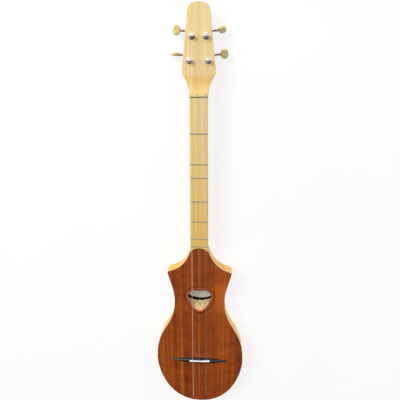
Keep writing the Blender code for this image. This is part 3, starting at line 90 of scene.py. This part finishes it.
class Nodes:
    """Short calls for the nodes of one tree. A value is a node's output, or else a number or colour."""

    def __init__(self, tree):
        self.tree = tree

    def add(self, kind, **settings):
        node = self.tree.nodes.new(kind)
        for name, value in settings.items():
            setattr(node, name, value)
        return node

    def link(self, source, target):
        self.tree.links.new(source, target)

    def feed(self, node, socket, value):
        """Links value into the socket when it is an output, or sets it when it is a number or colour."""
        target = node.inputs[socket]
        if isinstance(value, bpy.types.NodeSocket):
            self.link(value, target)
        else:
            target.default_value = value

    def math(self, operation, a, b=0.0, c=0.0):
        node = self.add("ShaderNodeMath", operation=operation)
        for i, value in enumerate((a, b, c)):
            self.feed(node, i, value)
        return node.outputs[0]

    def product(self, first, *others):
        for other in others:
            first = self.math("MULTIPLY", first, other)
        return first

    def remap(self, value, low, high, to_low=0.0, to_high=1.0):
        """Low to high as to_low to to_high, held level beyond both ends."""
        node = self.add("ShaderNodeMapRange")
        ends = {"Value": value, "From Min": low, "From Max": high, "To Min": to_low, "To Max": to_high}
        for socket, end in ends.items():
            self.feed(node, socket, end)
        return node.outputs["Result"]

    def band(self, value, low, high, soft):
        """1 between low and high, falling to 0 over the soft margin outside them."""
        rise = self.remap(value, low - soft, low)
        fall = self.remap(value, high, high + soft, 1.0, 0.0)
        return self.product(rise, fall)

    def mix(self, factor, a, b, blend="MIX"):
        """Colour a at factor 0, and colour b at 1."""
        node = self.add("ShaderNodeMix", data_type="RGBA", blend_type=blend)
        for socket, value in ((0, factor), (6, a), (7, b)):
            self.feed(node, socket, value)
        return node.outputs[2]

    def ramp(self, factor, stops):
        node = self.add("ShaderNodeValToRGB")
        elements = node.color_ramp.elements
        while len(elements) < len(stops):
            elements.new(0.5)
        for element, (place, color) in zip(elements, stops):
            element.position = place
            element.color = color
        self.link(factor, node.inputs["Fac"])
        return node.outputs["Color"]

    def parts(self, vector):
        """The X, Y and Z of a vector."""
        split = self.add("ShaderNodeSeparateXYZ")
        self.link(vector, split.inputs[0])
        return split.outputs


class Shader(Nodes):
    """A Principled material. A CAD node's mesh holds its place, so its coordinates are the world's."""

    def __init__(self, name, **inputs):
        self.material = bpy.data.materials.new(name)
        self.material.use_nodes = True
        super().__init__(self.material.node_tree)
        self.principled = self.tree.nodes["Principled BSDF"]
        for socket, value in inputs.items():
            self.principled.inputs[socket.replace("_", " ")].default_value = value
        self.coords = self.add("ShaderNodeTexCoord").outputs["Object"]

    def axes(self):
        return self.parts(self.coords)

    def facing(self):
        """The surface's normal."""
        return self.add("ShaderNodeNewGeometry").outputs["Normal"]

    def upward(self):
        return self.parts(self.facing())[2]

    def noise(self, scale, detail=3.0, roughness=0.55, distortion=0.0, offset=(0, 0, 0)):
        """Noise whose features are 1/scale metres long on each axis, from 0 to 1."""
        mapping = self.add("ShaderNodeMapping")
        self.link(self.coords, mapping.inputs["Vector"])
        mapping.inputs["Scale"].default_value = scale
        mapping.inputs["Location"].default_value = offset
        node = self.add("ShaderNodeTexNoise")
        self.link(mapping.outputs["Vector"], node.inputs["Vector"])
        node.inputs["Scale"].default_value = 1.0
        node.inputs["Detail"].default_value = detail
        node.inputs["Roughness"].default_value = roughness
        node.inputs["Distortion"].default_value = distortion
        return node.outputs["Fac"]

    def bump(self, height, distance, strength):
        node = self.add("ShaderNodeBump")
        node.inputs["Strength"].default_value = strength
        node.inputs["Distance"].default_value = distance
        self.link(height, node.inputs["Height"])
        return node.outputs["Normal"]

    def connect(self, **outputs):
        """Links each output to the Principled socket that it is named after."""
        for socket, value in outputs.items():
            self.link(value, self.principled.inputs[socket.replace("_", " ")])
        return self.material


def srgb(red, green, blue):
    """An 8-bit display colour as the linear colour a shader takes."""

    def channel(value):
        value /= 255
        return value / 12.92 if value <= 0.04045 else ((value + 0.055) / 1.055) ** 2.4

    return (channel(red), channel(green), channel(blue), 1.0)


# ---------------------------------------------------------------- woods


def rib_wood(s, color):
    """Colours what shows through the soundhole: a painted light on the foot, a mottled wall and a painted
    shade in the passage.
    """
    x, y, z = s.axes()
    inside = s.product(s.band(x, *INSIDE_X, 0.002), s.band(y, *INSIDE_Y, 0.002))
    # a painted light brightens the rib's foot inside the soundhole
    color = s.mix(s.product(inside, s.remap(z, *RIB_LIGHT_Z)), color, srgb(252, 232, 172))
    mottle = s.remap(s.noise((420, 420, 260), detail=4, roughness=0.75), 0.47, 0.6)
    wall = s.product(inside, mottle, s.remap(z, *MOTTLE_Z))
    color = s.mix(wall, color, srgb(158, 112, 62))
    along = s.math("POWER", s.math("SUBTRACT", RIB_CENTRE_Y, y), 2.0)
    away = s.math("SQRT", s.math("ADD", s.product(x, x), along))
    # a painted shade: the passage under the rib is painted near black
    passage = s.product(s.band(x, *PASSAGE_X, 0.001), s.band(y, *PASSAGE_Y, 0.001))
    passage = s.product(passage, s.band(z, *PASSAGE_Z, 0.0003), s.remap(away, *PASSAGE_SHADE_RADII))
    return s.mix(passage, color, srgb(12, 9, 8))


def maple():
    """Pale lacquered maple, banded and flecked along Y, yellower down the neck and on the sides."""
    s = Shader("maple_lacquered", Coat_Weight=0.3, Coat_Roughness=0.16, Coat_IOR=1.5)
    x, y, z = s.axes()
    bands = s.noise((55, 1.6, 55), detail=4, distortion=0.6)
    stops = [(0.28, srgb(228, 200, 138)), (0.5, srgb(238, 213, 152)), (0.72, srgb(246, 224, 166))]
    color = s.ramp(bands, stops)
    grain = s.noise((560, 6, 560), detail=5, roughness=0.65)
    color = s.mix(s.remap(grain, 0.38, 0.66, 0.0, 0.42), color, srgb(204, 166, 104))
    flecks = s.noise((1500, 160, 1500), detail=2)
    color = s.mix(s.remap(flecks, 0.6, 0.75, 0.0, 0.3), color, srgb(184, 140, 86))
    color = s.mix(s.remap(y, NUT_Y, JOINT_Y), color, srgb(250, 230, 180), "MULTIPLY")
    scoop = s.product(s.band(y, *SCOOP_Y, 0.006), 0.8)
    color = s.mix(scoop, color, srgb(252, 232, 190), "MULTIPLY")
    sideways = s.math("SUBTRACT", 1.0, s.math("ABSOLUTE", s.upward()))
    color = s.mix(s.remap(sideways, 0.3, 0.95, 0.0, 0.85), color, srgb(255, 232, 118), "MULTIPLY")
    # a painted highlight along the top edge of the sides
    edge = s.product(s.band(z, *EDGE_HIGHLIGHT_Z, 0.0006), s.remap(sideways, 0.3, 0.8))
    edge = s.product(edge, s.remap(y, *EDGE_HIGHLIGHT_Y, 0.3, 0.0))
    color = s.mix(edge, color, srgb(250, 232, 178))
    # a painted shadow of the nut on the fretboard
    nut_shadow = s.product(s.band(x, *NUT_SHADOW_X, 0.0003), s.band(y, *NUT_SHADOW_Y, 0.0004), 0.75)
    color = s.mix(nut_shadow, color, srgb(96, 66, 34))
    color = rib_wood(s, color)
    rough = s.remap(s.noise((30, 12, 30), detail=3), 0.3, 0.7, 0.3, 0.42)
    height = s.math("ADD", grain, s.product(flecks, 0.5))
    return s.connect(Base_Color=color, Roughness=rough, Normal=s.bump(height, 0.00006, 0.35))


def hole_surround(s, color, x, y):
    """Redder wood round the soundhole. The board's cut edges are dark, but pale at the hole."""
    low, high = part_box("rosette_ring")
    soft = HOLE_ZONE_SOFT
    near = s.band(x, low.x + soft, high.x - soft, soft)
    near = s.product(near, s.band(y, low.y + 1.5 * soft, high.y - soft, soft))
    color = s.mix(s.product(near, 0.3), color, srgb(186, 96, 62))
    rim = s.remap(s.upward(), 0.5, 0.95, 0.8, 0.0)
    return s.mix(rim, color, s.mix(near, srgb(58, 22, 12), srgb(226, 150, 112)))


def mahogany():
    """Red-brown wood with ribbon stripes along Y, open pores and a satin lacquer."""
    s = Shader("mahogany_lacquered", Coat_Weight=0.16, Coat_Roughness=0.2, Coat_IOR=1.45)
    s.principled.inputs["Specular IOR Level"].default_value = 0.35
    x, y, _ = s.axes()
    ribbon = s.noise((105, 1.2, 105), detail=3.5, roughness=0.6, distortion=0.4)
    stops = [(0.32, srgb(112, 46, 12)), (0.44, srgb(136, 60, 17))]
    stops += [(0.56, srgb(153, 72, 20)), (0.68, srgb(182, 94, 30))]
    color = s.ramp(ribbon, stops)
    fine = s.noise((420, 4, 420), detail=5, roughness=0.7)
    color = s.mix(s.remap(fine, 0.38, 0.66, 0.0, 0.55), color, srgb(106, 40, 12))
    shimmer = s.noise((26, 42, 26), detail=2, offset=(3, 1, 0))
    color = s.mix(s.remap(shimmer, 0.4, 0.75, 0.0, 0.3), color, srgb(196, 98, 28))
    # a painted glare on the soundboard's right side
    glare = s.product(s.band(x, *GLARE_X, 0.01), s.band(y, *GLARE_Y, 0.02))
    glare = s.product(glare, s.remap(ribbon, 0.35, 0.65, 0.08, 0.4))
    color = s.mix(glare, color, srgb(222, 118, 34))
    pores = s.remap(s.noise((2300, 85, 2300), detail=1.5), 0.62, 0.7)
    color = s.mix(s.product(pores, 0.55), color, srgb(58, 20, 8))
    color = hole_surround(s, color, x, y)
    rough = s.remap(ribbon, 0.3, 0.7, 0.36, 0.48)
    height = s.math("SUBTRACT", s.product(fine, 0.4), pores)
    return s.connect(Base_Color=color, Roughness=rough, Normal=s.bump(height, 0.00008, 0.3))


def inlay(name, redness):
    """Dark inlay: red-brown at a redness of 1, near black at 0."""
    s = Shader(name, Specular_IOR_Level=0.1)
    grain = s.noise((900, 700, 900), detail=4, roughness=0.6)
    color = s.ramp(grain, [(0.3, srgb(34, 12, 8)), (0.6, srgb(62, 24, 14)), (0.8, srgb(92, 40, 24))])
    color = s.mix(redness, srgb(8, 6, 6), color)
    rough = s.remap(grain, 0.3, 0.7, 0.5, 0.62)
    return s.connect(Base_Color=color, Roughness=rough, Normal=s.bump(grain, 0.00003, 0.3))


def dark_wood():
    """Near-black close-grained wood, oiled. Its palest grain, blue-grey, is partly real grain and partly a
    painted highlight.
    """
    s = Shader("ebonised_wood", Coat_Weight=0.25, Coat_Roughness=0.3)
    grain = s.noise((40, 900, 900), detail=5, roughness=0.6)
    # the palest, blue-grey stop is partly a painted highlight
    color = s.ramp(grain, [(0.3, srgb(10, 11, 13)), (0.6, srgb(26, 30, 34)), (0.8, srgb(84, 88, 92))])
    rough = s.remap(grain, 0.3, 0.7, 0.3, 0.45)
    return s.connect(Base_Color=color, Roughness=rough, Normal=s.bump(grain, 0.00005, 0.4))


def spruce():
    """Bare straight-grained wood of the braces, its grain along X."""
    s = Shader("spruce_bare")
    rings = s.noise((4, 700, 160), detail=3)
    stops = [(0.35, srgb(222, 186, 132)), (0.55, srgb(206, 164, 108)), (0.62, srgb(176, 126, 74))]
    color = s.ramp(rings, stops)
    rough = s.remap(rings, 0.3, 0.7, 0.6, 0.75)
    return s.connect(Base_Color=color, Roughness=rough, Normal=s.bump(rings, 0.00008, 0.4))


# ---------------------------------------------------------------- bone, plastic and paper


def bone(name, bleached):
    """Polished bone with faint long pores, from yellowed (0) to bleached (1)."""
    s = Shader(name, Subsurface_Weight=0.12, Subsurface_Radius=(0.002, 0.0015, 0.0008), Coat_Weight=0.3)
    cloud = s.noise((90, 220, 220), detail=4)
    pale = [(0.35, srgb(246, 242, 226)), (0.6, srgb(252, 252, 244)), (0.8, srgb(255, 255, 250))]
    yellow = [(0.35, srgb(226, 206, 144)), (0.6, srgb(238, 220, 160)), (0.8, srgb(244, 230, 176))]
    color = s.mix(bleached, s.ramp(cloud, yellow), s.ramp(cloud, pale))
    pores = s.noise((500, 2600, 2600), detail=2)
    color = s.mix(s.remap(pores, 0.62, 0.75, 0.0, 0.35), color, srgb(206, 182, 132))
    rough = s.remap(cloud, 0.3, 0.7, 0.24, 0.34)
    return s.connect(Base_Color=color, Roughness=rough, Normal=s.bump(pores, 0.00003, 0.3))


def cream_plastic(tuner):
    """Moulded cream button plastic with a slow swirl, and a painted brown shade where it meets the shaft.
    """
    low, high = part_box(f"{tuner}_button")
    s = Shader(f"{tuner}_plastic", Subsurface_Weight=0.25, Coat_Weight=0.4)
    s.principled.inputs["Subsurface Radius"].default_value = (0.004, 0.002, 0.0008)
    swirl = s.noise((160, 160, 160), detail=3, distortion=1.4)
    stops = [(0.3, srgb(206, 184, 124)), (0.5, srgb(218, 202, 144)), (0.72, srgb(232, 220, 172))]
    color = s.ramp(swirl, stops)
    out = s.math("SUBTRACT", s.math("ABSOLUTE", s.axes()[0]), min(abs(low.x), abs(high.x)))
    # a painted shade in brown near the hub
    color = s.mix(s.remap(out, *HUB_SHADE, 0.75, 0.0), color, srgb(190, 132, 68))
    cloudy = s.noise((110, 110, 110), detail=2, offset=(2, 5, 1))
    color = s.mix(s.remap(cloudy, 0.5, 0.68, 0.0, 0.4), color, srgb(196, 148, 84))
    speck = s.noise((1400, 1400, 1400), detail=2)
    rough = s.remap(speck, 0.3, 0.7, 0.24, 0.34)
    return s.connect(Base_Color=color, Roughness=rough, Normal=s.bump(speck, 0.00002, 0.3))


def paper():
    """Off-white uncoated paper with fibres, a plain border and rows of generic strokes."""
    low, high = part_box("label")
    middle = (low + high) / 2
    half = (high - low) / 2
    s = Shader("label_paper")
    x, y, _ = s.axes()
    fibre = s.noise((900, 1500, 900), detail=5, roughness=0.7)
    color = s.ramp(fibre, [(0.3, srgb(238, 238, 234)), (0.7, srgb(255, 255, 252))])
    from_side = s.math("SUBTRACT", half.x, s.math("ABSOLUTE", x))
    from_end = s.math("SUBTRACT", half.y, s.math("ABSOLUTE", s.math("SUBTRACT", y, middle.y)))
    inside = s.math("MINIMUM", from_side, from_end)
    border = s.product(s.math("COMPARE", inside, LABEL_BORDER, 0.00035), 0.7)
    color = s.mix(border, color, srgb(92, 84, 76))
    rows = s.math("SINE", s.product(y, 2 * math.pi / LABEL_ROW))
    strokes = s.noise((700, 330, 1), detail=2, roughness=0.6)
    marks = s.product(s.remap(rows, -0.1, 0.35), s.remap(strokes, 0.5, 0.56))
    marks = s.product(marks, s.math("GREATER_THAN", inside, LABEL_MARGIN), 0.9)
    color = s.mix(marks, color, srgb(52, 54, 60))
    shade = s.remap(y, *(middle.y + end for end in LABEL_SHADE_Y), 0.0, 0.95)
    color = s.mix(shade, color, srgb(16, 12, 10))
    rough = s.remap(fibre, 0.3, 0.7, 0.75, 0.9)
    return s.connect(Base_Color=color, Roughness=rough, Normal=s.bump(fibre, 0.00004, 0.5))


# ---------------------------------------------------------------- metals


def metal(name, color, rough, wear, scratches, dark_reflection=0.0):
    """Metal with stains and fine scratches. A strength above 0 gives one flank a painted dark reflection.
    """
    s = Shader(name, Metallic=1.0)
    stain = s.noise((300, 300, 300), detail=4)
    stained = tuple(channel * 0.72 for channel in color[:3]) + (1.0,)
    tint = s.mix(s.remap(stain, 0.45, 0.8, 0.0, 0.5), color, stained)
    # a painted dark reflection on the flank facing the tail and the right
    if dark_reflection:
        side = s.add("ShaderNodeVectorMath", operation="DOT_PRODUCT")
        s.link(s.facing(), side.inputs[0])
        side.inputs[1].default_value = DARK_REFLECTION_SIDE
        tint = s.mix(s.remap(side.outputs["Value"], 0.2, 0.62, 0.0, dark_reflection), tint, srgb(34, 32, 34))
    scratch = s.noise(scratches, detail=3, roughness=0.7)
    roughness = s.remap(scratch, 0.3, 0.75, rough, rough + wear)
    return s.connect(Base_Color=tint, Roughness=roughness, Normal=s.bump(scratch, 0.00001, 0.25))


def wound_wire():
    """Bass string: bronze wrapped tightly round a core, a ridge for each wrap along Y."""
    s = Shader("bronze_wound", Metallic=0.3)
    _, y, _ = s.axes()
    wraps = s.math("SINE", s.product(y, 2 * math.pi / WRAP_PITCH))
    tarnish = s.noise((400, 60, 400), detail=4)
    stops = [(0.35, srgb(255, 238, 210)), (0.6, srgb(255, 222, 188)), (0.8, srgb(236, 186, 144))]
    color = s.ramp(tarnish, stops)
    # painted shade in the grooves between the wraps
    color = s.mix(s.remap(wraps, -1.0, -0.5, 0.35, 0.0), color, srgb(150, 92, 58))
    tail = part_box("string_1")[0].y
    color = s.mix(s.band(y, tail, tail + TWIST_LENGTH, 0.002), color, srgb(255, 246, 232))
    rough = s.remap(tarnish, 0.3, 0.7, 0.4, 0.52)
    return s.connect(Base_Color=color, Roughness=rough, Normal=s.bump(wraps, 0.00004, 0.4))


def plain_wire():
    """Drawn steel string: a soft grey gleam with fine marks along its length."""
    s = Shader("plain_string", Metallic=0.55)
    marks = s.noise((2500, 40, 2500), detail=3, roughness=0.7)
    stops = [(0.3, srgb(176, 160, 144)), (0.6, srgb(204, 192, 178)), (0.8, srgb(222, 214, 204))]
    color = s.ramp(marks, stops)
    rough = s.remap(marks, 0.3, 0.7, 0.34, 0.46)
    return s.connect(Base_Color=color, Roughness=rough, Normal=s.bump(marks, 0.00001, 0.3))


def banded_chrome(tuner):
    """A worm shaft: bright collars and dark necks between them, measured from its outer end. The necks'
    darkness is a painted dark reflection.
    """
    low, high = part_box(f"{tuner}_worm_shaft")
    s = Shader(f"{tuner}_shaft_chrome", Metallic=1.0)
    inward = s.math("SUBTRACT", max(abs(low.x), abs(high.x)), s.math("ABSOLUTE", s.axes()[0]))
    collars = s.math("MAXIMUM", *(s.band(inward, *ends, 0.0004) for ends in COLLARS))
    film = s.noise((700, 700, 700), detail=3)
    # the necks' dark colour is a painted dark reflection
    dark = s.ramp(film, [(0.35, srgb(40, 38, 38)), (0.7, srgb(92, 90, 90))])
    bright = s.ramp(film, [(0.35, srgb(214, 214, 214)), (0.7, srgb(244, 244, 244))])
    color = s.mix(collars, dark, bright)
    rough = s.remap(film, 0.3, 0.7, 0.1, 0.22)
    return s.connect(Base_Color=color, Roughness=rough, Normal=s.bump(film, 0.00001, 0.3))


# ---------------------------------------------------------------- assigning


def paint(material, *names):
    for name in names:
        for slot in NODES[name].material_slots:
            slot.material = material


def numbered(stem, numbers):
    return [f"{stem}_{number}" for number in numbers]


def paint_nodes():
    """Gives every node its material. Each tuner's shaft and button are measured, so they have their own."""
    paint(maple(), "maple_body_and_neck")
    paint(mahogany(), "soundboard")
    paint(dark_wood(), "bridge")
    paint(inlay("ring_inlay", 1.0), "rosette_ring")
    paint(inlay("dot_inlay", 0.25), "rosette_dot")
    paint(spruce(), "upper_brace", "lower_brace", "bridge_patch")
    paint(bone("bone_saddle", 1.0), "saddle")
    paint(bone("bone_nut", 0.0), "nut")
    paint(paper(), "label")
    nickel = metal("fret_wire", srgb(205, 200, 190), rough=0.18, wear=0.08, scratches=(90, 1800, 1800))
    paint(nickel, *numbered("fret", range(1, 8)))
    paint(wound_wire(), "string_1", "string_winding_1")
    plain = range(2, 5)
    paint(plain_wire(), *numbered("string", plain), *numbered("string_winding", plain))
    plating = {"rough": 0.05, "wear": 0.06, "scratches": (1200, 1200, 1200)}
    chrome = metal("chrome_plate", srgb(240, 240, 242), **plating)
    dome = metal("dome_chrome", srgb(244, 244, 246), **plating, dark_reflection=0.9)
    brass = metal("gear_brass", srgb(206, 164, 92), rough=0.26, wear=0.12, scratches=(1500, 1500, 400))
    for tuner in TUNERS:
        paint(chrome, f"{tuner}_tuner_plate", f"{tuner}_upper_screw", f"{tuner}_lower_screw")
        paint(dome, f"{tuner}_bushing", f"{tuner}_post")
        paint(brass, f"{tuner}_wheel")
        paint(banded_chrome(tuner), f"{tuner}_worm_shaft")
        paint(cream_plastic(tuner), f"{tuner}_button")


# ---------------------------------------------------------------- stage, light and camera


def make_floor():
    """A plain pale floor. Most of its brightness is its own, because the sky is dim towards the tail."""
    mesh = bpy.data.meshes.new("studio_floor")
    signs = ((-1, -1), (1, -1), (1, 1), (-1, 1))
    corners = [(x * FLOOR_HALF, y * FLOOR_HALF, -FLOOR_DROP) for x, y in signs]
    mesh.from_pydata(corners, [], [(0, 1, 2, 3)])
    floor = bpy.data.objects.new("studio_floor", mesh)
    bpy.context.scene.collection.objects.link(floor)
    s = Shader("studio_floor", Roughness=0.9)
    s.principled.inputs["Emission Color"].default_value = (1.0, 1.0, 1.0, 1.0)
    s.principled.inputs["Emission Strength"].default_value = FLOOR_GLOW
    tone = s.noise((3, 3, 3), detail=2)
    stops = [(0.3, (0.21, 0.21, 0.21, 1.0)), (0.7, (0.23, 0.23, 0.23, 1.0))]
    mesh.materials.append(s.connect(Base_Color=s.ramp(tone, stops)))


def area_light(name, place, target, size, power):
    light = bpy.data.lights.new(name, "AREA")
    light.size = size
    light.energy = power
    lamp = bpy.data.objects.new(name, light)
    lamp.location = place
    aim = Vector(target) - Vector(place)
    lamp.rotation_euler = aim.to_track_quat("-Z", "Y").to_euler()
    bpy.context.scene.collection.objects.link(lamp)


def make_lights():
    """A soft key from the head's left and a weak fill."""
    area_light("key", place=(-1.35, 1.25, 1.45), target=(0, -0.1, 0), size=0.9, power=31)
    area_light("fill", place=(1.3, 0.9, 1.7), target=(0, 0, 0), size=1.2, power=5)


def make_sky():
    """Light bright from the head and dim from the tail. The camera sees a plain pale backdrop instead."""
    world = bpy.data.worlds.new("studio")
    world.use_nodes = True
    sky = Nodes(world.node_tree)
    direction = sky.add("ShaderNodeTexCoord").outputs["Generated"]
    towards_head = sky.remap(sky.parts(direction)[1], -1.0, 1.0)
    light = sky.ramp(towards_head, [(place, (level, level, level, 1.0)) for place, level in SKY])
    seen = sky.add("ShaderNodeLightPath").outputs["Is Camera Ray"]
    sky.link(sky.mix(seen, light, BACKDROP), sky.tree.nodes["Background"].inputs["Color"])
    bpy.context.scene.world = world
    bpy.context.scene.view_settings.view_transform = "Standard"


def make_camera():
    """Above the fretboard near the nut, tilted to look down the instrument."""
    camera = bpy.data.cameras.new("camera")
    camera.lens = CAMERA_LENS
    camera.sensor_width = 36.0
    stand = bpy.data.objects.new("camera", camera)
    turn = Matrix((CAMERA_RIGHT, CAMERA_UP, CAMERA_BACK)).transposed().to_4x4()
    stand.matrix_world = Matrix.Translation(CAMERA_PLACE) @ turn
    bpy.context.scene.collection.objects.link(stand)
    bpy.context.scene.camera = stand


make_camera()
make_floor()
make_lights()
make_sky()
paint_nodes()
